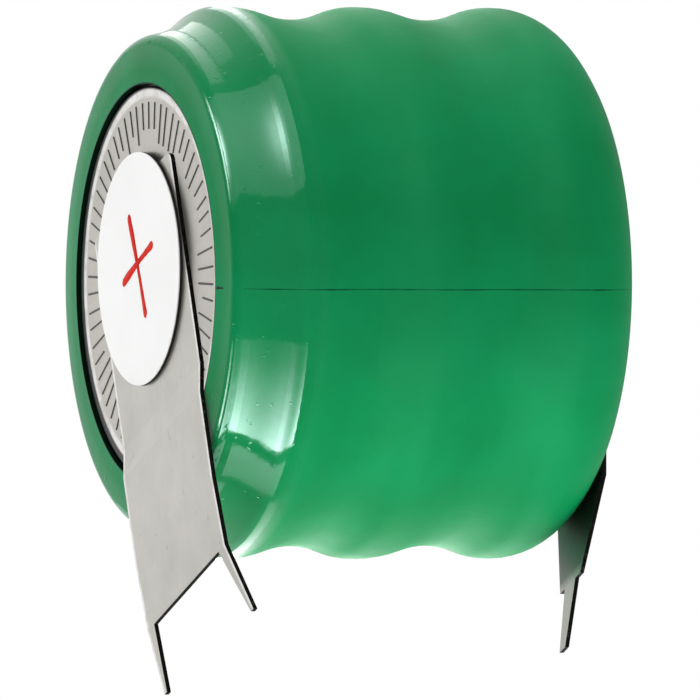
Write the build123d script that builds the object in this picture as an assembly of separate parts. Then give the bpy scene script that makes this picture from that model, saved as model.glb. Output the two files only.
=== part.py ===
from build123d import *
import os
from math import atan2, degrees, radians, tan

# Three-cell nickel-metal hydride button stack with solder tabs, in a shrink sleeve.
# Millimetres. X runs along the stack from the + end (-X) to the - end (+X), Z is up.
# The stack stands on its three solder pins: their tips are at Z = 0, and the origin
# is below the middle of the whole part.

# Cells: a drawn can, crimped over a seal ring that holds the lid.
# Heights run from the can's base; a margin is measured inwards from the can's wall.
CELL_COUNT = 3
CELL_DIAMETER = 25.1
CAN_SHEET = 0.3
PLATEAU_MARGIN = 3.45
PLATEAU_HEIGHT = 0.3
PLATEAU_FILLET = 0.15
SHOULDER_MARGIN = 2.05
SHOULDER_FILLET = 0.5
KNEE_HEIGHT = 1.35
KNEE_FILLET = 1.0
BASE_CORNER_HEIGHT = 3.05
BASE_CORNER_FILLET = 0.6
BASE_SLOPE = 41.0
WALL_HEIGHT = 1.9
CRIMP_RISE = 1.2
CRIMP_CORNER_FILLET = 2.8
CRIMP_EDGE_FILLET = 0.9
CRIMP_MARGIN = 1.75
CRIMP_COVER = 0.9

# Seal ring and lid
RING_MARGIN = 2.05
RING_SECTION = 0.35
RING_SIDE = 0.5
FLANGE_GRIP = 0.9
LID_SHEET = 0.3
LID_CLEARANCE = 0.5

# Sleeve
SLEEVE_WALL = 0.25
SLEEVE_LIP_GAP = 0.1
SLEEVE_LIP_LIFT = 0.2
SLEEVE_RIM_DROP = 0.05
RIM_FILLET = 0.35
NECK_STEP = 0.33
NECK_FILLET = 4.0
NECK_HEIGHT = 1.9
VALLEY_DEPTH = 0.6
VALLEY_HEIGHT = 0.25
FALL_SHARE = 0.45
RISE_SHARE = 0.7

# Folded strips welded between neighbouring cells
LINK_SHEET = 0.1
LINK_FOLD_GAP = 0.05
LINK_WIDTH = 6.0
LINK_REACH = 6.5

# Solder tabs and their pins
TAB_SHEET = 0.2
TAB_CLEARANCE = 0.05
TAB_CORNER = 0.5
STAND_OFF = 2.35
PIN_LENGTH = 3.15
NEGATIVE_PIN_LENGTH = 3.3
POSITIVE_WIDTH = 10.9
POSITIVE_PIN_ROOT = 0.9
POSITIVE_PIN_TIP = 0.35
POSITIVE_TOP = 4.4
JOGGLE_MARGIN = 1.6
JOGGLE_LENGTH = 1.4
POSITIVE_TUCK = 0.15
FAR_PIN_LEAN = 7.0
NEAR_PIN_LEAN = 17.0
NEGATIVE_WIDTH = 8.0
NEGATIVE_TAPER_START = 8.5
NEGATIVE_SHOULDER = 2.7
NEGATIVE_PIN_ROOT = 1.45
NEGATIVE_PIN_TIP = 0.75
NEGATIVE_LEAN = 14.8

# Insulating disc over the weld of the + tab
DISC_RADIUS = 5.4
DISC_SHEET = 0.2
DISC_RISE = 0.7

# Worked out from the sizes above: radii, places along one cell, the stack, the tabs
CELL_RADIUS = CELL_DIAMETER / 2
PLATEAU_RADIUS = CELL_RADIUS - PLATEAU_MARGIN
SHOULDER_RADIUS = CELL_RADIUS - SHOULDER_MARGIN
CRIMP_SHOULDER_RADIUS = CELL_RADIUS - CRIMP_MARGIN
RING_OUTER_RADIUS = CELL_RADIUS - RING_MARGIN
CRIMP_TIP_RADIUS = RING_OUTER_RADIUS - CRIMP_COVER
LID_FLANGE_RADIUS = RING_OUTER_RADIUS - RING_SIDE
RING_INNER_RADIUS = LID_FLANGE_RADIUS - FLANGE_GRIP
LID_FOOT_RADIUS = RING_INNER_RADIUS - LID_CLEARANCE
LID_TOP_RADIUS = LID_FOOT_RADIUS - LID_SHEET
SLEEVE_LIP_RADIUS = PLATEAU_RADIUS + SLEEVE_LIP_GAP
CRIMP_CORNER_HEIGHT = BASE_CORNER_HEIGHT + WALL_HEIGHT
CRIMP_TOP = CRIMP_CORNER_HEIGHT + CRIMP_RISE
RING_TOP = CRIMP_TOP - CAN_SHEET
FLANGE_TOP = RING_TOP - RING_SECTION
FLANGE_FLOOR = FLANGE_TOP - LID_SHEET
RING_FLOOR = FLANGE_FLOOR - RING_SECTION
CELL_HEIGHT = CRIMP_TOP + SLEEVE_WALL + TAB_CLEARANCE
LINK_THICKNESS = 2 * LINK_SHEET + LINK_FOLD_GAP
PITCH = CELL_HEIGHT + LINK_THICKNESS
STACK_LENGTH = CELL_COUNT * PITCH - LINK_THICKNESS
STACK_START = (DISC_SHEET - STACK_LENGTH) / 2
STACK_END = STACK_START + STACK_LENGTH
TAB_LIFT = SLEEVE_WALL + SLEEVE_LIP_LIFT - PLATEAU_HEIGHT + TAB_CLEARANCE
JOGGLE_END = SLEEVE_LIP_RADIUS - JOGGLE_MARGIN
PIN_ROOT_DEPTH = CELL_RADIUS + SLEEVE_WALL + STAND_OFF
PIN_DEPTH = PIN_ROOT_DEPTH + PIN_LENGTH
STACK_AXIS = Axis.X


def section_face(corners, shift=0):
    """Face in the XZ plane; a corner is (x, radius, fillet)."""
    points = [(x + shift, r) for x, r, fillet in corners]
    fillets = [fillet for x, r, fillet in corners]
    outline = FilletPolyline(*points, radius=fillets, close=True)
    return Plane.XZ * make_face(outline)


def turned(corners, start):
    """Solid of revolution about the stack's axis, with x counted from start."""
    return revolve(section_face(corners, start), STACK_AXIS)


def cell_start(index):
    """X of a cell's flat base."""
    return STACK_START + index * PITCH


def slope_radius(height):
    """Radius of the cone under the can's wall at a height above its base."""
    return CELL_RADIUS - (BASE_CORNER_HEIGHT - height) * tan(radians(BASE_SLOPE))


SLEEVE_NECK_RADIUS = slope_radius(NECK_HEIGHT)
SLEEVE_RIM_RADIUS = SLEEVE_NECK_RADIUS + SLEEVE_WALL
WALL_FOOT = (BASE_CORNER_HEIGHT, CELL_RADIUS, BASE_CORNER_FILLET)

# The can's outer line on either side of its wall, which the sleeve follows too
BASE_CURVE = [
    (PLATEAU_HEIGHT, SHOULDER_RADIUS, SHOULDER_FILLET),
    (KNEE_HEIGHT, slope_radius(KNEE_HEIGHT), KNEE_FILLET),
    WALL_FOOT,
]
CRIMP_CURVE = [
    (CRIMP_CORNER_HEIGHT, CELL_RADIUS, CRIMP_CORNER_FILLET),
    (CRIMP_TOP, CRIMP_SHOULDER_RADIUS, CRIMP_EDGE_FILLET),
]


def make_can(start):
    """Can with its sealed filling: raised base, wall, and rim crimped over the ring."""
    plateau = [
        (0, 0, 0),
        (0, PLATEAU_RADIUS, PLATEAU_FILLET),
        (PLATEAU_HEIGHT, PLATEAU_RADIUS, 0),
    ]
    pocket = [
        (CRIMP_TOP, CRIMP_TIP_RADIUS, 0),
        (RING_TOP, CRIMP_TIP_RADIUS, 0),
        (RING_TOP, RING_OUTER_RADIUS, 0),
        (RING_FLOOR, RING_OUTER_RADIUS, 0),
        (RING_FLOOR, 0, 0),
    ]
    return turned(plateau + BASE_CURVE + CRIMP_CURVE + pocket, start)


def make_seal_ring(start):
    """Plastic ring with a groove for the lid's flange."""
    corners = [
        (RING_FLOOR, RING_INNER_RADIUS, 0),
        (RING_FLOOR, RING_OUTER_RADIUS, 0),
        (RING_TOP, RING_OUTER_RADIUS, 0),
        (RING_TOP, RING_INNER_RADIUS, 0),
        (FLANGE_TOP, RING_INNER_RADIUS, 0),
        (FLANGE_TOP, LID_FLANGE_RADIUS, 0),
        (FLANGE_FLOOR, LID_FLANGE_RADIUS, 0),
        (FLANGE_FLOOR, RING_INNER_RADIUS, 0),
    ]
    return turned(corners, start)


def make_lid(start):
    """Stepped lid: flat top, round step, and the flange held in the ring's groove."""
    corners = [
        (CELL_HEIGHT, 0, 0),
        (CELL_HEIGHT, LID_TOP_RADIUS, LID_SHEET),
        (FLANGE_TOP, LID_FOOT_RADIUS, 0),
        (FLANGE_TOP, LID_FLANGE_RADIUS, 0),
        (FLANGE_FLOOR, LID_FLANGE_RADIUS, 0),
        (FLANGE_FLOOR, LID_TOP_RADIUS, 0),
        (CELL_HEIGHT - LID_SHEET, LID_TOP_RADIUS - LID_SHEET, 0),
        (CELL_HEIGHT - LID_SHEET, 0, 0),
    ]
    return turned(corners, start)


def swing(start, end, share):
    """Two tangent arcs from start to end, level at both; share is the first arc's part."""
    middle = start + (end - start) * share
    first = TangentArc(start, middle, tangent=(1, 0))
    second = TangentArc(middle, end, tangent=first % 1)
    return [first, second]


def make_sleeve():
    """Shrunk tube of even wall: a crest round each cell, and a lip over each end.

    The line is the tube's inner side. Over the first base it leaves the can's cone
    for a narrow neck and a rim; between cells it spans the gap in two swings.
    """
    crest_start = BASE_CORNER_HEIGHT + fillet_reach(BASE_CORNER_FILLET, BASE_SLOPE)
    crimp_rise = CRIMP_TOP - CRIMP_CORNER_HEIGHT
    crimp_slope = degrees(atan2(CELL_RADIUS - CRIMP_SHOULDER_RADIUS, crimp_rise))
    crest_end = CRIMP_CORNER_HEIGHT - fillet_reach(CRIMP_CORNER_FILLET, crimp_slope)
    front = [
        (PLATEAU_HEIGHT - SLEEVE_LIP_LIFT, SLEEVE_LIP_RADIUS, 0),
        (PLATEAU_HEIGHT - SLEEVE_RIM_DROP, SLEEVE_NECK_RADIUS - NECK_STEP, RIM_FILLET),
        (NECK_HEIGHT, SLEEVE_NECK_RADIUS, NECK_FILLET),
        WALL_FOOT,
        (crest_end, CELL_RADIUS, 0),
    ]
    rear = [(crest_start, CELL_RADIUS, 0)] + CRIMP_CURVE + [(CRIMP_TOP, SLEEVE_LIP_RADIUS, 0)]
    edges = list(end_curve(front, cell_start(0)).edges())
    for index in range(1, CELL_COUNT):
        before = Vector(cell_start(index - 1) + crest_end, CELL_RADIUS)
        valley = Vector(cell_start(index) + VALLEY_HEIGHT, CELL_RADIUS - VALLEY_DEPTH)
        after = Vector(cell_start(index) + crest_start, CELL_RADIUS)
        edges += swing(before, valley, FALL_SHARE)
        edges += swing(valley, after, RISE_SHARE)
        if index < CELL_COUNT - 1:
            edges.append(Line(after, Vector(cell_start(index) + crest_end, CELL_RADIUS)))
    edges += end_curve(rear, cell_start(CELL_COUNT - 1)).edges()
    wall = offset(Wire(edges), SLEEVE_WALL, side=Side.LEFT)
    return revolve(Plane.XZ * make_face(wall), STACK_AXIS)


def end_curve(corners, start):
    """Open line over one end of the stack, rounded at its inner corners."""
    points = [(x + start, r) for x, r, fillet in corners]
    return FilletPolyline(*points, radius=[fillet for x, r, fillet in corners[1:-1]])


def fillet_reach(radius, turn):
    """Length of straight line that a fillet takes up at a corner of this turn."""
    return radius * tan(radians(turn / 2))


def strip(width, bottom, top):
    """Upright plate outline in the YZ plane with two rounded upper corners."""
    plate = Pos(0, (bottom + top) / 2) * Rectangle(width, top - bottom)
    return fillet(plate.vertices().group_by(Axis.Y)[-1], TAB_CORNER)


def bent_sheet(path, sheet, outline):
    """Sheet that follows a path of (x, z) in side view and an outline in front view."""
    face = [(x + sheet, z) for x, z in reversed(path)]
    side = Plane.XZ * make_face(Polyline(*path, *face, close=True))
    return extrude(side, CELL_RADIUS, both=True) & extrude(Plane.YZ * outline, STACK_LENGTH, both=True)


def tapered_pin(outer, root, tip, sign):
    """Pin outline whose outer edge is straight and whose inner edge tapers."""
    return make_face(
        Polyline(
            (sign * outer, -PIN_ROOT_DEPTH),
            (sign * (outer - root), -PIN_ROOT_DEPTH),
            (sign * (outer - tip), -PIN_DEPTH),
            (sign * outer, -PIN_DEPTH),
            close=True,
        )
    )


def make_positive_tab():
    """Wide strip welded to the can's base: it steps over the lip and ends in two pins."""
    lifted = STACK_START - TAB_LIFT
    foot = lifted + POSITIVE_TUCK
    path = [
        (STACK_START, POSITIVE_TOP),
        (STACK_START, JOGGLE_LENGTH - JOGGLE_END),
        (lifted, -JOGGLE_END),
        (lifted, -SLEEVE_RIM_RADIUS),
        (foot, -PIN_ROOT_DEPTH),
    ]
    tab = bent_sheet(path, -TAB_SHEET, strip(POSITIVE_WIDTH, -PIN_ROOT_DEPTH, POSITIVE_TOP))
    for sign, lean in ((1, FAR_PIN_LEAN), (-1, NEAR_PIN_LEAN)):
        tip_x = foot + PIN_LENGTH * tan(radians(lean))
        pin_path = [(foot, -PIN_ROOT_DEPTH), (tip_x, -PIN_DEPTH)]
        pin = tapered_pin(POSITIVE_WIDTH / 2, POSITIVE_PIN_ROOT, POSITIVE_PIN_TIP, sign)
        tab += bent_sheet(pin_path, -TAB_SHEET, pin)
    return tab


def make_negative_tab():
    """Narrower strip welded to the last lid: it tapers to shoulders and one pin."""
    top = NEGATIVE_WIDTH / 2
    root_z = NEGATIVE_PIN_LENGTH - PIN_DEPTH
    right = [
        (NEGATIVE_WIDTH / 2, -NEGATIVE_TAPER_START),
        (NEGATIVE_SHOULDER / 2, root_z),
        (NEGATIVE_PIN_ROOT / 2, root_z),
        (NEGATIVE_PIN_TIP / 2, -PIN_DEPTH),
    ]
    left = [(-y, z) for y, z in reversed(right)]
    lower = make_face(Polyline(*right, *left, close=True))
    outline = strip(NEGATIVE_WIDTH, -NEGATIVE_TAPER_START, top) + lower
    tip_x = STACK_END - (PIN_DEPTH - CRIMP_SHOULDER_RADIUS) * tan(radians(NEGATIVE_LEAN))
    path = [(STACK_END, top), (STACK_END, -CRIMP_SHOULDER_RADIUS), (tip_x, -PIN_DEPTH)]
    return bent_sheet(path, TAB_SHEET, outline)


def make_link(index):
    """Thin strip folded back on itself: one leg on the lid, one on the next can."""
    start = cell_start(index) + CELL_HEIGHT
    fold = LINK_THICKNESS / 2
    legs = Pos(start + fold, 0) * Rectangle(LINK_THICKNESS, 2 * LINK_REACH)
    bend = Pos(start + fold, -LINK_REACH) * Circle(fold)
    slot = Pos(start + fold, fold) * Rectangle(LINK_FOLD_GAP, 2 * LINK_REACH)
    return extrude(Plane.XZ * (legs + bend - slot), LINK_WIDTH / 2, both=True)


def make_disc():
    """Thin card disc on the tab, over the weld."""
    centre = Plane.YZ.offset(STACK_START - TAB_SHEET) * Pos(0, DISC_RISE)
    return extrude(centre * Circle(DISC_RADIUS), -DISC_SHEET)


def write(name, shape):
    shape.label = name
    export_step(Pos(0, 0, PIN_DEPTH) * shape, f"parts/{name}.step")


def main():
    os.makedirs("parts", exist_ok=True)
    write("sleeve", make_sleeve())
    for index in range(CELL_COUNT):
        start = cell_start(index)
        write(f"cell_{index + 1}_can", make_can(start))
        write(f"cell_{index + 1}_seal_ring", make_seal_ring(start))
        write(f"cell_{index + 1}_lid", make_lid(start))
    for index in range(CELL_COUNT - 1):
        write(f"link_{index + 1}_{index + 2}", make_link(index))
    write("positive_tab", make_positive_tab())
    write("negative_tab", make_negative_tab())
    write("insulating_disc", make_disc())


main()
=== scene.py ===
import math
import random
import bpy
from mathutils import Matrix, Vector
from mathutils.bvhtree import BVHTree


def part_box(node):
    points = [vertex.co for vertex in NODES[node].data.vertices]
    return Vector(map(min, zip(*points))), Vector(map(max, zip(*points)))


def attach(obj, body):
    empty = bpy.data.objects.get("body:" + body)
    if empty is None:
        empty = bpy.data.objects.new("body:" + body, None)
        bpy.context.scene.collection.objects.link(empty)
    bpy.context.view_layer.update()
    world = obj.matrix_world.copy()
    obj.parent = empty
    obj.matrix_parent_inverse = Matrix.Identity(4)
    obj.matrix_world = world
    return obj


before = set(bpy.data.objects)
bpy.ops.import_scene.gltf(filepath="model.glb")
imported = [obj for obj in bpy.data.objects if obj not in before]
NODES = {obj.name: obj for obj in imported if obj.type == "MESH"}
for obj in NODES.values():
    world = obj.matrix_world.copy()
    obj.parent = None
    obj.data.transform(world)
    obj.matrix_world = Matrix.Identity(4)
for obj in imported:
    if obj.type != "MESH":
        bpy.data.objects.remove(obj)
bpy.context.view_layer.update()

# Three-cell button stack with solder tabs: looks, stage, light and camera.
# Metres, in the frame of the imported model: X along the stack, Z up.

MM = 0.001
SEED = 7

SLEEVE_LOW, SLEEVE_HIGH = (Vector(corner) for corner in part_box("sleeve"))
DISC_LOW, DISC_HIGH = (Vector(corner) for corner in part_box("insulating_disc"))
CAN_LOW = Vector(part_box("cell_1_can")[0])
AXIS_Z = (SLEEVE_LOW.z + SLEEVE_HIGH.z) / 2
DISC_Z = (DISC_LOW.z + DISC_HIGH.z) / 2

SLEEVE_RADIUS = (SLEEVE_HIGH.z - SLEEVE_LOW.z) / 2
LIP_RADIUS = 9.2 * MM

# The flat of the first can's base shows up to this radius, a little aside from the film's lip
CAN_RIM = 8.80 * MM
CAN_OFFSET = -0.30 * MM

# Along the stack, the film is glossy up to the first crest and matt from a little beyond it
GLOSSY_TO = CAN_LOW.x + 3.2 * MM
MATT_FROM = CAN_LOW.x + 4.2 * MM

# Colours, in linear light
FILM_GREENS = ((0.0002, 0.178, 0.050), (0.0015, 0.222, 0.072))
# Painted shade on the film's cut edge round the lip
LIP_EDGE_SHADE = (0.002, 0.010, 0.006)
FILM_SHEEN = (0.72, 0.97, 0.95, 1)
# Painted shade along the film's fold line
CREASE_SHADE_GREEN = (0.0, 0.030, 0.012)
# Painted shade in the nick where the fold meets the lip
NICK_SHADE_GREEN = (0.0, 0.004, 0.003)
CAN_TONE = (0.545, 0.525, 0.480)
LID_TONE = (0.62, 0.605, 0.585)
TAB_TONE = (0.565, 0.550, 0.505)
# Painted shade in the pressed marks round the can's base
MARK_SHADE_TONE = (0.15, 0.145, 0.135)
# Painted highlight on rolled edges
EDGE_HIGHLIGHT = (0.86, 0.85, 0.84)
CORNER_SHADE = (0.010, 0.009, 0.008)
# Painted shade on the tabs' sheared side faces, over a torn texture
SHEARED_FACE_SHADES = ((0.014, 0.013, 0.012), (0.22, 0.21, 0.20))
# Painted shade on the - tab's inner side
TAB_INNER_SHADE = (0.020, 0.026, 0.022)
CARD_WHITES = ((0.87, 0.87, 0.865), (0.91, 0.91, 0.905))
# Painted shade on the card's cut edge
CARD_EDGE_SHADE = (0.020, 0.017, 0.014)
INK_REDS = ((0.55, 0.012, 0.006), (0.69, 0.030, 0.016))
NYLON_GREYS = ((0.020, 0.020, 0.022), (0.045, 0.045, 0.05))
FLOOR_TONE = (0.86, 0.86, 0.86, 1)

METAL_ROUGHNESS = 0.22
MARK_ROUGHNESS = 0.4

# The pin of the - tab has no painted shade up to this height; above it the strip's inner side has
# painted shade
PIN_TOP = 3.3 * MM

# Where the camera stands: turned from square to the stack, and below the level of its axis
VIEW_YAW = math.radians(20.9)
VIEW_ROLL = math.radians(22.0)
VIEW_FORWARD = Vector((
    math.sin(VIEW_YAW),
    math.cos(VIEW_YAW) * math.cos(VIEW_ROLL),
    math.cos(VIEW_YAW) * math.sin(VIEW_ROLL),
))
VIEW_UP = Vector((0, -math.sin(VIEW_ROLL), math.cos(VIEW_ROLL)))
VIEW_RIGHT = VIEW_FORWARD.cross(VIEW_UP)
TOWARDS_VIEW = Vector((0, -math.cos(VIEW_ROLL), -math.sin(VIEW_ROLL)))

# Turn about the stack of the fold that the film had as a flat tube
FOLD_ANGLE = math.pi + VIEW_ROLL + math.radians(1.6)


# ---------------------------------------------------------------- node helpers

class Shader:
    """A material under construction, with short calls for the nodes it needs."""

    def __init__(self, name):
        self.material = bpy.data.materials.new(name)
        self.material.use_nodes = True
        self.nodes = self.material.node_tree.nodes
        self.links = self.material.node_tree.links
        self.surface = self.nodes["Principled BSDF"]
        coordinates = self.nodes.new("ShaderNodeTexCoord")
        self.place = coordinates.outputs["Object"]
        self.facing = coordinates.outputs["Normal"]

    def put(self, socket, value):
        if isinstance(value, bpy.types.NodeSocket):
            self.links.new(value, socket)
        else:
            socket.default_value = value

    def set(self, **values):
        """Sets sockets of the surface: Base_Color=..., Roughness=..."""
        for name, value in values.items():
            self.put(self.surface.inputs[name.replace("_", " ")], value)

    def math(self, operation, first, second=0.0):
        node = self.nodes.new("ShaderNodeMath")
        node.operation = operation
        for socket, value in zip(node.inputs, (first, second)):
            self.put(socket, value)
        return node.outputs[0]

    def noise(self, scale, detail, rough, stretch=(1, 1, 1)):
        mapping = self.nodes.new("ShaderNodeMapping")
        self.put(mapping.inputs["Vector"], self.place)
        mapping.inputs["Scale"].default_value = stretch
        node = self.nodes.new("ShaderNodeTexNoise")
        self.put(node.inputs["Vector"], mapping.outputs[0])
        node.inputs["Scale"].default_value = scale
        node.inputs["Detail"].default_value = detail
        node.inputs["Roughness"].default_value = rough
        return node.outputs["Fac"]

    def ramp(self, value, *stops):
        """Colour ramp; a stop is (position, colour or grey)."""
        node = self.nodes.new("ShaderNodeValToRGB")
        self.put(node.inputs[0], value)
        elements = node.color_ramp.elements
        while len(elements) < len(stops):
            elements.new(0.5)
        for element, (position, colour) in zip(elements, stops):
            element.position = position
            if isinstance(colour, (int, float)):
                colour = (colour, colour, colour)
            element.color = (*colour, 1)
        return node.outputs[0]

    def mix(self, share, first, second):
        node = self.nodes.new("ShaderNodeMix")
        node.data_type = "RGBA"
        self.put(node.inputs[0], share)
        for socket, value in zip(node.inputs[6:8], (first, second)):
            if isinstance(value, tuple):
                value = (*value, 1)
            self.put(socket, value)
        return node.outputs[2]

    def rescale(self, value, low, high, to_low, to_high):
        node = self.nodes.new("ShaderNodeMapRange")
        self.put(node.inputs[0], value)
        for socket, number in zip(node.inputs[1:5], (low, high, to_low, to_high)):
            socket.default_value = number
        return node.outputs[0]

    def bump(self, height, distance, strength, under=None):
        node = self.nodes.new("ShaderNodeBump")
        self.put(node.inputs["Height"], height)
        node.inputs["Distance"].default_value = distance
        node.inputs["Strength"].default_value = strength
        if under:
            self.put(node.inputs["Normal"], under)
        return node.outputs[0]

    def split(self, vector):
        """The three parts of a place or a facing."""
        node = self.nodes.new("ShaderNodeSeparateXYZ")
        self.put(node.inputs[0], vector)
        return node.outputs

    def round_place(self, offset=0.0):
        """(x, distance from the stack's axis) of a point; offset moves the axis across."""
        x, y, z = self.split(self.place)
        y = self.math("SUBTRACT", y, offset)
        up = self.math("SUBTRACT", z, AXIS_Z)
        square = self.math("ADD", self.math("MULTIPLY", y, y), self.math("MULTIPLY", up, up))
        return x, self.math("SQRT", square)


# ------------------------------------------------------------------- materials

def film_material():
    """Green shrink film: glossy over the first cell, softer over the others."""
    s = Shader("green_film")
    x, radius = s.round_place()
    mottle = s.noise(260, 4, 0.55)
    streaks = s.noise(90, 3, 0.5, stretch=(0.25, 1.6, 1.6))
    tone = s.math("ADD", s.math("MULTIPLY", mottle, 0.5), s.math("MULTIPLY", streaks, 0.5))
    green = s.ramp(tone, (0.35, FILM_GREENS[0]), (0.65, FILM_GREENS[1]))
    # Painted shade: near black on the lip's cut edge and in a thin line round it
    lip_shade_share = s.rescale(radius, LIP_RADIUS + 0.03 * MM, LIP_RADIUS + 0.09 * MM, 1.0, 0.0)
    s.set(Base_Color=s.mix(lip_shade_share, green, LIP_EDGE_SHADE))
    rough = s.rescale(x, GLOSSY_TO, MATT_FROM, 0.07, 0.50)
    wear = s.rescale(s.noise(700, 5, 0.6), 0.4, 0.75, 0.0, 0.05)
    s.set(Roughness=s.math("ADD", rough, wear))
    lip = s.rescale(x, SLEEVE_LOW.x + 0.05 * MM, SLEEVE_LOW.x + 0.5 * MM, 0.03, 0.42)
    later = s.rescale(x, GLOSSY_TO, MATT_FROM, 0.42, 0.09)
    s.set(Specular_IOR_Level=s.math("MINIMUM", lip, later), Specular_Tint=FILM_SHEEN)
    waves = s.bump(s.noise(160, 2, 0.4, stretch=(1.0, 0.7, 0.7)), 0.12 * MM, 0.35)
    peel = s.bump(s.noise(1500, 2, 0.5), 0.012 * MM, 0.35, under=waves)
    specks = s.ramp(s.noise(2600, 1, 0.5), (0.70, 0.0), (0.76, 1.0))
    s.set(Normal=s.bump(specks, 0.01 * MM, 0.6, under=peel))
    return s.material


def patchy_edge_highlight(s, colour, share, noise, low, least):
    """Paints a highlight on a rolled edge, weaker where the noise is low."""
    patchiness = s.ramp(noise, (low, least), (0.56, 1.0))
    return s.mix(s.math("MULTIPLY", share, patchiness), colour, EDGE_HIGHLIGHT)


def base_edge(s, colour):
    """Painted highlight on the rolled edge round the can's raised base, and painted shade in the
    corner beyond it.
    """
    radius = s.round_place(CAN_OFFSET)[1]
    gleam = s.rescale(radius, CAN_RIM - 0.38 * MM, CAN_RIM - 0.24 * MM, 0.0, 0.9)
    colour = patchy_edge_highlight(s, colour, gleam, s.noise(1100, 3, 0.6), 0.34, 0.25)
    shade = s.rescale(radius, CAN_RIM, CAN_RIM + 0.10 * MM, 0.0, 0.97)
    return s.mix(shade, colour, CORNER_SHADE)


def punched_edges(s, colour, half_width):
    """Painted highlight along the rolled margins of a punched strip, and painted shade on its
    sheared side faces.
    """
    across = s.math("ABSOLUTE", s.split(s.place)[1])
    gleam = s.rescale(across, half_width - 0.24 * MM, half_width - 0.14 * MM, 0.0, 1.0)
    colour = patchy_edge_highlight(s, colour, gleam, s.noise(1500, 3, 0.6), 0.36, 0.35)
    cut = s.rescale(s.math("ABSOLUTE", s.split(s.facing)[0]), 0.25, 0.42, 1.0, 0.0)
    shaded_tear = s.ramp(s.noise(2600, 3, 0.7), (0.60, SHEARED_FACE_SHADES[0]), (0.78, SHEARED_FACE_SHADES[1]))
    return s.mix(cut, colour, shaded_tear)


def inner_side_shade(s, colour, above):
    """Painted shade on a strip's inner side, over a height."""
    inner = s.rescale(s.split(s.facing)[0], -0.7, -0.4, 1.0, 0.0)
    high = s.rescale(s.split(s.place)[2], above, above + 0.6 * MM, 0.34, 0.93)
    return s.mix(s.math("MULTIPLY", inner, high), colour, TAB_INNER_SHADE)


def steel_material(name, tone, rough, scratch_axis=1, is_can=False, half_width=None,
                   shaded_above=None):
    """Nickel-plated steel with fine grain, faint stains and specks.

    is_can adds the painted highlight and shade at the edge of a can's base, half_width the
    painted highlight and shade at the edges of a punched strip, and the last argument the
    painted shade on a strip's inner side, above that height.
    """
    s = Shader(name)
    stretch = [1.0, 1.0, 1.0]
    stretch[scratch_axis] = 0.05
    grain = s.noise(9000, 2, 0.6, stretch=tuple(stretch))
    cloud = s.noise(330, 5, 0.6)
    speck = s.ramp(s.noise(1900, 2, 0.5), (0.69, 0.0), (0.75, 1.0))
    light = tuple(c * 1.08 for c in tone)
    dark = tuple(c * 0.86 for c in tone)
    spot = tuple(c * 0.45 for c in tone)
    colour = s.ramp(cloud, (0.3, dark), (0.7, light))
    colour = s.mix(s.math("MULTIPLY", speck, 0.35), colour, spot)
    if is_can:
        colour = base_edge(s, colour)
    if half_width:
        colour = punched_edges(s, colour, half_width)
    # Painted shade on the strip's inner side above the given height
    if shaded_above:
        colour = inner_side_shade(s, colour, shaded_above)
    s.set(Base_Color=colour, Metallic=0.85)
    low = s.math("MULTIPLY", cloud, 0.12)
    s.set(Roughness=s.math("ADD", s.math("MULTIPLY", grain, 0.10), s.math("ADD", low, rough)))
    fine = s.bump(grain, 0.004 * MM, 0.5)
    s.set(Normal=s.bump(cloud, 0.05 * MM, 0.25, under=fine))
    return s.material


def card_material():
    """White card with a faint fibre tooth; its cut edge is dark with painted shade."""
    s = Shader("white_card")
    fibre = s.noise(2400, 4, 0.65, stretch=(1, 1, 0.4))
    cloud = s.noise(240, 3, 0.5)
    white = s.ramp(cloud, (0.3, CARD_WHITES[0]), (0.7, CARD_WHITES[1]))
    x = s.split(s.place)[0]
    edge_shade_share = s.rescale(x, DISC_LOW.x + 0.03 * MM, DISC_LOW.x + 0.07 * MM, 0.0, 1.0)
    s.set(Base_Color=s.mix(edge_shade_share, white, CARD_EDGE_SHADE), Specular_IOR_Level=0.1)
    s.set(Roughness=s.rescale(fibre, 0.3, 0.7, 0.50, 0.66))
    s.set(Normal=s.bump(fibre, 0.01 * MM, 0.5))
    return s.material


def ink_material():
    """Red felt-pen ink, thinner and lighter where the pen skipped."""
    s = Shader("red_ink")
    skip = s.noise(3000, 4, 0.7)
    pool = s.noise(900, 2, 0.5)
    colour = s.ramp(pool, (0.35, INK_REDS[0]), (0.65, INK_REDS[1]))
    s.set(Base_Color=colour, Roughness=s.rescale(skip, 0.3, 0.7, 0.45, 0.7))
    s.set(Specular_IOR_Level=0.05)
    s.set(Normal=s.bump(skip, 0.01 * MM, 0.5))
    return s.material


def ring_material():
    """Dark moulded nylon with a matt tooth."""
    s = Shader("dark_nylon")
    tooth = s.noise(2200, 4, 0.6)
    s.set(Base_Color=s.ramp(tooth, (0.3, NYLON_GREYS[0]), (0.7, NYLON_GREYS[1])))
    s.set(Roughness=s.rescale(tooth, 0.3, 0.7, 0.42, 0.6), Normal=s.bump(tooth, 0.01 * MM, 0.6))
    return s.material


def crease_material(name, dark):
    """The film where it was folded flat: the same green, darker with painted shade, and duller."""
    s = Shader(name)
    broken = s.noise(1300, 3, 0.6, stretch=(1.0, 0.2, 0.2))
    light = (dark[0], dark[1] * 4.0, dark[2] * 4.0)
    s.set(Base_Color=s.ramp(broken, (0.38, dark), (0.66, light)), Specular_IOR_Level=0.1)
    s.set(Roughness=s.rescale(broken, 0.3, 0.7, 0.30, 0.5), Normal=s.bump(broken, 0.01 * MM, 0.5))
    return s.material


def tab_material(name):
    """Nickel-plated strip of a solder tab; only the - tab has painted shade on its inner side."""
    low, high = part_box(name)
    half_width = (high[1] - low[1]) / 2
    shade_height = PIN_TOP if name == "negative_tab" else None
    return steel_material(
        name + "_nickel", TAB_TONE, METAL_ROUGHNESS, 2, half_width=half_width, shaded_above=shade_height)


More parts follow.
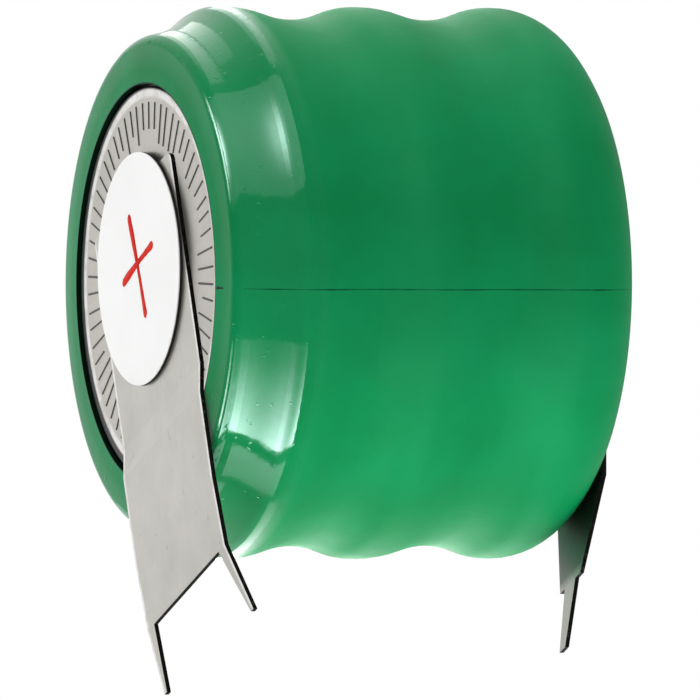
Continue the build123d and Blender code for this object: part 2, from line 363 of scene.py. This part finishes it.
def dress_nodes():
    """Gives every CAD node its material."""
    by_name = {
        "sleeve": film_material(),
        "insulating_disc": card_material(),
        "positive_tab": tab_material("positive_tab"),
        "negative_tab": tab_material("negative_tab"),
    }
    by_ending = {
        "_can": steel_material("can_steel", CAN_TONE, METAL_ROUGHNESS, is_can=True),
        "_lid": steel_material("lid_steel", LID_TONE, METAL_ROUGHNESS),
        "_seal_ring": ring_material(),
    }
    link = steel_material("link_nickel", TAB_TONE, METAL_ROUGHNESS)
    for name, node in NODES.items():
        material = by_name.get(name, link)
        for ending, made in by_ending.items():
            if name.endswith(ending):
                material = made
        if not node.material_slots:
            node.data.materials.append(material)
        for slot in node.material_slots:
            slot.material = material


# ------------------------------------------------------------------ mesh pieces

def mesh_piece(name, verts, faces, material, smooth=True):
    """Adds a mesh that rides with the battery."""
    mesh = bpy.data.meshes.new(name)
    mesh.from_pydata([tuple(v) for v in verts], [], faces)
    mesh.validate()
    mesh.update()
    if smooth:
        for polygon in mesh.polygons:
            polygon.use_smooth = True
    piece = bpy.data.objects.new(name, mesh)
    bpy.context.scene.collection.objects.link(piece)
    mesh.materials.append(material)
    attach(piece, "root")
    return piece


def ribbon(name, rows, material):
    """Closed strip from rows of equal length: each row is one cross-section loop."""
    verts = [point for row in rows for point in row]
    count = len(rows[0])
    faces = []
    for index in range(len(rows) - 1):
        for step in range(count):
            a = index * count + step
            b = index * count + (step + 1) % count
            faces.append((a, b, b + count, a + count))
    faces.append(tuple(reversed(range(count))))
    faces.append(tuple(range((len(rows) - 1) * count, len(rows) * count)))
    return mesh_piece(name, verts, faces, material)


def on_disc(across, up, lift):
    """Point on the disc's outer face; across runs to the right as seen from outside."""
    return Vector((DISC_LOW.x - lift, -across, DISC_Z + up))


def pen_stroke(name, start, end, width, bow, ink, rng):
    """One felt-pen stroke with blunt ends, a slight bow and an uneven edge."""
    steps = 48
    start, end = Vector(start), Vector(end)
    along = (end - start).normalized()
    side = Vector((-along.y, along.x))
    lift = 0.012 * MM
    rows = []
    for index in range(steps + 1):
        t = index / steps
        middle = start.lerp(end, t) + side * bow * math.sin(math.pi * t)
        cap = math.sqrt(max(0.02, 1 - max(0, abs(2 * t - 1) - 0.9) ** 2 / 0.01))
        swell = 1 + 0.22 * math.sin(2.2 * math.pi * t + 0.4)
        half = width / 2 * cap * swell
        left = middle + side * (half + rng.uniform(-1, 1) * 0.03 * width)
        right = middle - side * (half + rng.uniform(-1, 1) * 0.03 * width)
        rows.append([
            on_disc(left.x, left.y, 0.001 * MM),
            on_disc(left.x, left.y, lift * 0.7),
            on_disc(middle.x, middle.y, lift),
            on_disc(right.x, right.y, lift * 0.7),
            on_disc(right.x, right.y, 0.001 * MM),
        ])
    return ribbon(name, rows, ink)


def film_point(tree, x, angle, lift):
    """Point just outside the film's outer face, at a place along the stack and a turn."""
    direction = Vector((0, math.cos(angle), math.sin(angle)))
    origin = Vector((x, 0, AXIS_Z)) + direction * 30 * MM
    hit = tree.ray_cast(origin, -direction)[0]
    return hit + direction * lift


def film_front_point(tree, radius, angle, lift):
    """Point just in front of the film's end, at a distance from the axis and a turn."""
    outward = Vector((0, math.cos(angle), math.sin(angle)))
    origin = Vector((SLEEVE_LOW.x - 5 * MM, 0, AXIS_Z)) + outward * radius
    hit = tree.ray_cast(origin, Vector((1, 0, 0)))[0]
    return hit - Vector((lift, 0, 0))


CREASE_SECTION = ((-1.0, -0.008), (-0.5, 0.008), (0.5, 0.008), (1.0, -0.008))


def crease(name, tree, angle, material, rng):
    """Fine ridge along the film where the flat tube was folded."""
    rows = []
    steps = 220
    first = SLEEVE_LOW.x + 0.55 * MM
    last = SLEEVE_HIGH.x - 0.5 * MM
    for index in range(steps + 1):
        t = index / steps
        x = first + (last - first) * t
        fade = min(1, 14 * t, 14 * (1 - t))
        half = (0.024 + 0.010 * math.sin(37 * t) + rng.uniform(0, 0.006)) * MM
        half *= 0.35 + 0.65 * fade
        turn = half / SLEEVE_RADIUS
        rows.append([
            film_point(tree, x, angle + turn * side, rise * MM) for side, rise in CREASE_SECTION])
    return ribbon(name, rows, material)


def lip_nick(name, tree, angle, material, rng):
    """Short nick in the film's lip, where the fold begins, dark with painted shade."""
    rows = []
    steps = 12
    for index in range(steps + 1):
        t = index / steps
        radius = LIP_RADIUS + (0.18 + 0.75 * t) * MM
        half = (0.085 * (1 - t) ** 0.6 + 0.012 + rng.uniform(0, 0.012)) * MM
        turn = half / radius
        rows.append([
            film_front_point(tree, radius, angle + turn * side, rise * MM)
            for side, rise in CREASE_SECTION])
    return ribbon(name, rows, material)


def face_marks(material, rng):
    """Generic pressed marks round the can's base: short radial bars, no letters."""
    verts = []
    faces = []
    count = 62
    for index in range(count):
        angle = 2 * math.pi * index / count + rng.uniform(-0.008, 0.008)
        inner = CAN_RIM - rng.choice((2.4, 2.2, 1.8)) * MM
        outer = CAN_RIM - 0.55 * MM
        half = 0.055 * MM
        rise = 0.035 * MM
        base = len(verts)
        along = Vector((0, math.cos(angle), math.sin(angle)))
        across = Vector((0, -math.sin(angle), math.cos(angle)))
        origin = Vector((CAN_LOW.x, CAN_OFFSET, AXIS_Z))
        for reach, inset in ((inner, 0), (outer, 0)):
            for side, height in ((-1, 0.002 * MM), (-0.45, -rise), (0.45, -rise), (1, 0.002 * MM)):
                point = origin + along * reach + across * side * half
                point.x += height
                verts.append(point)
        for step in range(3):
            faces.append((base + step, base + step + 1, base + 5 + step, base + 4 + step))
        faces.append((base, base + 4, base + 7, base + 3))
        faces.append((base + 3, base + 2, base + 1, base))
        faces.append((base + 4, base + 5, base + 6, base + 7))
    return mesh_piece("base_marks", verts, faces, material, smooth=False)


def build():
    rng = random.Random(SEED)
    dress_nodes()
    ink = ink_material()
    pen_stroke("plus_upright", (-0.25 * MM, 2.80 * MM), (0.14 * MM, -2.50 * MM),
               0.40 * MM, 0.06 * MM, ink, rng)
    pen_stroke("plus_level", (-2.18 * MM, 0.08 * MM), (2.27 * MM, 0.34 * MM),
               0.36 * MM, 0.05 * MM, ink, rng)
    depsgraph = bpy.context.evaluated_depsgraph_get()
    tree = BVHTree.FromObject(NODES["sleeve"], depsgraph)
    crease("film_crease", tree, FOLD_ANGLE, crease_material("film_crease", CREASE_SHADE_GREEN), rng)
    lip_nick("lip_nick", tree, FOLD_ANGLE, crease_material("film_nick", NICK_SHADE_GREEN), rng)
    # The marks' dark tone is painted shade in their hollows
    face_marks(steel_material("shaded_mark_steel", MARK_SHADE_TONE, MARK_ROUGHNESS), rng)


# ------------------------------------------------------------- stage and light

def floor_material():
    """Pale floor that can't be seen from below."""
    s = Shader("pale_floor")
    s.set(Base_Color=FLOOR_TONE, Roughness=0.8)
    clear = s.nodes.new("ShaderNodeBsdfTransparent")
    back = s.nodes.new("ShaderNodeNewGeometry").outputs["Backfacing"]
    mix = s.nodes.new("ShaderNodeMixShader")
    s.links.new(back, mix.inputs[0])
    s.links.new(s.surface.outputs[0], mix.inputs[1])
    s.links.new(clear.outputs[0], mix.inputs[2])
    s.links.new(mix.outputs[0], s.nodes["Material Output"].inputs["Surface"])
    return s.material


def make_floor():
    size = 0.9
    mesh = bpy.data.meshes.new("floor")
    corners = [(-size, -size, 0), (size, -size, 0), (size, size, 0), (-size, size, 0)]
    mesh.from_pydata(corners, [], [(0, 1, 2, 3)])
    mesh.materials.append(floor_material())
    floor = bpy.data.objects.new("floor", mesh)
    bpy.context.scene.collection.objects.link(floor)
    floor.visible_shadow = False
    floor.visible_glossy = False


WORLD_FILL = 0.62
ROOM_GLOW = 0.30
RIGHT_GLOW = 0.60


def make_world():
    """White backdrop for the camera and for mirrors, and a soft fill for the rest.

    A mirror sees the backdrop behind the object, dimmer to its right, and the dimmer room
    that the camera stands in.
    """
    world = bpy.data.worlds.new("studio")
    bpy.context.scene.world = world
    world.use_nodes = True
    nodes = world.node_tree.nodes
    links = world.node_tree.links
    background = nodes["Background"]
    background.inputs["Color"].default_value = (1, 1, 1, 1)
    path = nodes.new("ShaderNodeLightPath")
    way = nodes.new("ShaderNodeTexCoord").outputs["Generated"]

    def calculate(operation, first, second):
        node = nodes.new("ShaderNodeMath")
        node.operation = operation
        for socket, value in zip(node.inputs, (first, second)):
            if isinstance(value, float):
                socket.default_value = value
            else:
                links.new(value, socket)
        return node.outputs[0]

    def along(axis, low, high, to_low, to_high):
        dot = nodes.new("ShaderNodeVectorMath")
        dot.operation = "DOT_PRODUCT"
        links.new(way, dot.inputs[0])
        dot.inputs[1].default_value = axis
        share = nodes.new("ShaderNodeMapRange")
        links.new(dot.outputs["Value"], share.inputs[0])
        for socket, number in zip(share.inputs[1:5], (low, high, to_low, to_high)):
            socket.default_value = number
        return share.outputs[0]

    behind = along(VIEW_FORWARD, 0.0, 0.70, ROOM_GLOW, 1.0)
    sideways = along(Vector((1, 0, 0)), 0.0, 0.65, 1.0, RIGHT_GLOW)
    backdrop = calculate("MULTIPLY", behind, sideways)
    glossy = path.outputs["Is Glossy Ray"]
    mirror = calculate("MAXIMUM", glossy, path.outputs["Is Transmission Ray"])
    seen = calculate("MULTIPLY", mirror, backdrop)
    fill = calculate("MULTIPLY", calculate("SUBTRACT", 1.0, mirror), WORLD_FILL)
    strength = calculate("MAXIMUM", path.outputs["Is Camera Ray"], calculate("ADD", seen, fill))
    links.new(strength, background.inputs["Strength"])


def level_direction(turn):
    """Direction square to the stack, turned up from the one that faces the camera."""
    turn = math.radians(turn)
    return TOWARDS_VIEW * math.cos(turn) + VIEW_UP * math.sin(turn)


def mirrored_direction(turn, slope):
    """Where the film mirrors the view, at a turn round the stack and a slope of its line."""
    slope = math.radians(slope)
    normal = level_direction(turn) * math.cos(slope) - Vector((math.sin(slope), 0, 0))
    return VIEW_FORWARD - normal * 2 * VIEW_FORWARD.dot(normal)


def softbox(name, turn, axial, distance, width, height, radiance):
    """Area light of a given brightness, aimed at the middle of the stack."""
    light = bpy.data.lights.new(name, "AREA")
    light.shape = "RECTANGLE"
    light.size = width
    light.size_y = height
    light.energy = radiance * width * height * math.pi
    lamp = bpy.data.objects.new(name, light)
    bpy.context.scene.collection.objects.link(lamp)
    lamp.visible_glossy = False
    back = level_direction(turn) * math.sqrt(1 - axial * axial) + Vector((axial, 0, 0))
    side = (Vector((1, 0, 0)) - back * back.x).normalized()
    turned = Matrix((side, back.cross(side), back)).transposed().to_4x4()
    lamp.matrix_world = Matrix.Translation(Vector((0, 0, AXIS_Z)) + back * distance) @ turned
    return lamp


def glow_material():
    """Light that only reflections see, as strong as its mesh's glow attribute says."""
    material = bpy.data.materials.new("window_glow")
    material.use_nodes = True
    nodes = material.node_tree.nodes
    nodes.clear()
    glow = nodes.new("ShaderNodeAttribute")
    glow.attribute_name = "glow"
    emission = nodes.new("ShaderNodeEmission")
    output = nodes.new("ShaderNodeOutputMaterial")
    material.node_tree.links.new(glow.outputs["Fac"], emission.inputs["Strength"])
    material.node_tree.links.new(emission.outputs[0], output.inputs["Surface"])
    return material


def window(name, material, receivers, first, last, slopes, glow):
    """Pane that the film's front band mirrors between two turns.

    first and last are turns at the band's lower and upper slope; glow(t, u) gives the
    brightness at a share t of the way from first to last and u from low to high slope.
    """
    rows, columns = 20, 14
    middle = Vector((CAN_LOW.x + 2.4 * MM, 0, AXIS_Z))
    verts = []
    values = []
    for row in range(rows + 1):
        for column in range(columns + 1):
            t = row / rows
            u = column / columns
            start = first[0] + (first[1] - first[0]) * u
            end = last[0] + (last[1] - last[0]) * u
            turn = start + (end - start) * t
            slope = slopes[0] + (slopes[1] - slopes[0]) * u
            verts.append(middle + mirrored_direction(turn, slope) * 0.5)
            values.append(glow(t, u))
    faces = []
    for row in range(rows):
        for column in range(columns):
            a = row * (columns + 1) + column
            faces.append((a, a + 1, a + columns + 2, a + columns + 1))
    mesh = bpy.data.meshes.new(name)
    mesh.from_pydata([tuple(v) for v in verts], [], faces)
    mesh.materials.append(material)
    attribute = mesh.attributes.new("glow", "FLOAT", "POINT")
    for item, value in zip(attribute.data, values):
        item.value = value
    pane = bpy.data.objects.new(name, mesh)
    bpy.context.scene.collection.objects.link(pane)
    pane.visible_camera = False
    pane.visible_diffuse = False
    pane.visible_shadow = False
    pane.visible_transmission = False
    pane.light_linking.receiver_collection = receivers


def make_windows():
    """Window panes mirrored in the glossy band round the first cell.

    The + tab stands between some panes and the band, so the film doesn't mirror it.
    """
    NODES["positive_tab"].visible_glossy = False
    material = glow_material()
    receivers = bpy.data.collections.new("pane_receivers")
    receivers.objects.link(NODES["sleeve"])
    window("window_upper", material, receivers, (21, 17.5), (48.7, 47.2), (7, 50),
           lambda t, u: (1.5 + 0.9 * math.sin(math.pi * t) ** 2
                         + 66.0 * u ** 6 * math.sin(math.pi * t) ** 4))
    window("window_upper_rim", material, receivers, (19, 19), (50, 50), (52, 64),
           lambda t, u: 45.0 * (math.sin(math.pi * t) * math.sin(math.pi * u)) ** 0.8)
    window("window_top", material, receivers, (58, 60), (86, 88), (17, 30),
           lambda t, u: 1.1 + 1.5 * t)
    window("window_high", material, receivers, (52, 52), (88, 88), (-2, 16),
           lambda t, u: 1.4 + 2.2 * t)
    window("window_lower", material, receivers, (-13, -13), (-35.5, -38.7), (7, 44),
           lambda t, u: (1.6 + 23.0 * t ** 1.8) * (0.6 + 1.0 * (2 * u - 1) ** 2))
    window("window_lower_rim", material, receivers, (-14, -14), (-36, -36), (52, 64),
           lambda t, u: (6.0 + 42.0 * t) * math.sin(math.pi * u) ** 0.8)
    window("window_low_dim", material, receivers, (-39.5, -42.5), (-49.5, -50.5), (12, 43),
           lambda t, u: 4.3 - 2.2 * t)
    window("window_low", material, receivers, (-52, -52), (-88, -88), (-2, 16),
           lambda t, u: 2.0 + 5.0 * t)


def make_lights():
    softbox("top_box", 85, 0.10, 0.60, 0.50, 0.40, 3.1)
    softbox("lower_box", -80, 0.12, 0.60, 0.50, 0.50, 5.8)
    softbox("end_box", 0, -0.95, 0.60, 0.45, 0.45, 0.75)
    softbox("side_box", 172, -0.45, 0.50, 0.16, 0.24, 6.0)


def make_camera():
    """Long lens level with the stack, from in front of its + end."""
    distance = 1.0
    frame_width = 32.47 * MM
    sensor = 36.0
    middle = Vector((0.575 * MM, 0, AXIS_Z))
    target = middle - VIEW_RIGHT * 0.386 * MM - VIEW_UP * 3.109 * MM
    data = bpy.data.cameras.new("camera")
    data.sensor_width = sensor
    data.lens = sensor * distance / frame_width
    data.clip_start = 0.01
    data.clip_end = 10
    camera = bpy.data.objects.new("camera", data)
    bpy.context.scene.collection.objects.link(camera)
    turned = Matrix((VIEW_RIGHT, VIEW_UP, -VIEW_FORWARD)).transposed().to_4x4()
    camera.matrix_world = Matrix.Translation(target - VIEW_FORWARD * distance) @ turned
    bpy.context.scene.camera = camera


build()
make_floor()
make_world()
make_windows()
make_lights()
make_camera()
bpy.context.scene.view_settings.view_transform = "Standard"
